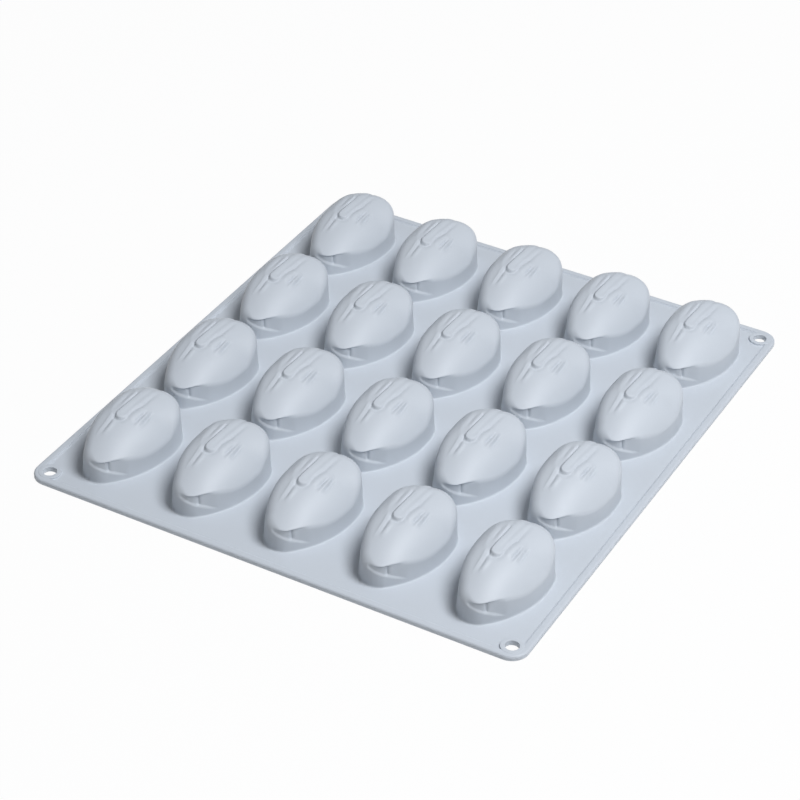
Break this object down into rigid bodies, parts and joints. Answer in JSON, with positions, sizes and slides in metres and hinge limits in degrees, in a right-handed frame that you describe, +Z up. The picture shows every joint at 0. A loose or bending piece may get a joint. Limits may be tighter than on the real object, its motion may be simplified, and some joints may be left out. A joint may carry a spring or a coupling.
{
  "type": "silicone baking mould",
  "caption": "Flexible baking mould with almond-shaped cups in a flat sheet with a raised rim and corner eyelets, resting upside down with its cups up.",
  "frame": {"origin": "middle of the sheet's underside, on the surface it rests on", "axes": "+Z up through the cups, +Y towards the blunt ends of the almonds, +X across the columns"},
  "size_m": [0.3, 0.3366, 0.0305],
  "materials": {
    "silicone": "pale blue-grey silicone, satin, moulded, slightly waxy"
  },
  "bodies": {
    "root": {"cup_r1_c1": "silicone", "cup_r1_c2": "silicone", "cup_r1_c3": "silicone", "cup_r1_c4": "silicone", "cup_r1_c5": "silicone", "cup_r2_c1": "silicone", "cup_r2_c2": "silicone", "cup_r2_c3": "silicone", "cup_r2_c4": "silicone", "cup_r2_c5": "silicone", "cup_r3_c1": "silicone", "cup_r3_c2": "silicone", "cup_r3_c3": "silicone", "cup_r3_c4": "silicone", "cup_r3_c5": "silicone", "cup_r4_c1": "silicone", "cup_r4_c2": "silicone", "cup_r4_c3": "silicone", "cup_r4_c4": "silicone", "cup_r4_c5": "silicone", "land_r1_c1": "silicone", "land_r1_c2": "silicone", "land_r1_c3": "silicone", "land_r1_c4": "silicone", "land_r1_c5": "silicone", "land_r2_c1": "silicone", "land_r2_c2": "silicone", "land_r2_c3": "silicone", "land_r2_c4": "silicone", "land_r2_c5": "silicone", "land_r3_c1": "silicone", "land_r3_c2": "silicone", "land_r3_c3": "silicone", "land_r3_c4": "silicone", "land_r3_c5": "silicone", "land_r4_c1": "silicone", "land_r4_c2": "silicone", "land_r4_c3": "silicone", "land_r4_c4": "silicone", "land_r4_c5": "silicone", "rim_front": "silicone", "rim_back": "silicone", "rim_left": "silicone", "rim_right": "silicone", "eyelet_front_left": "silicone", "eyelet_front_right": "silicone", "eyelet_back_left": "silicone", "eyelet_back_right": "silicone"}
  },
  "joints": []
}
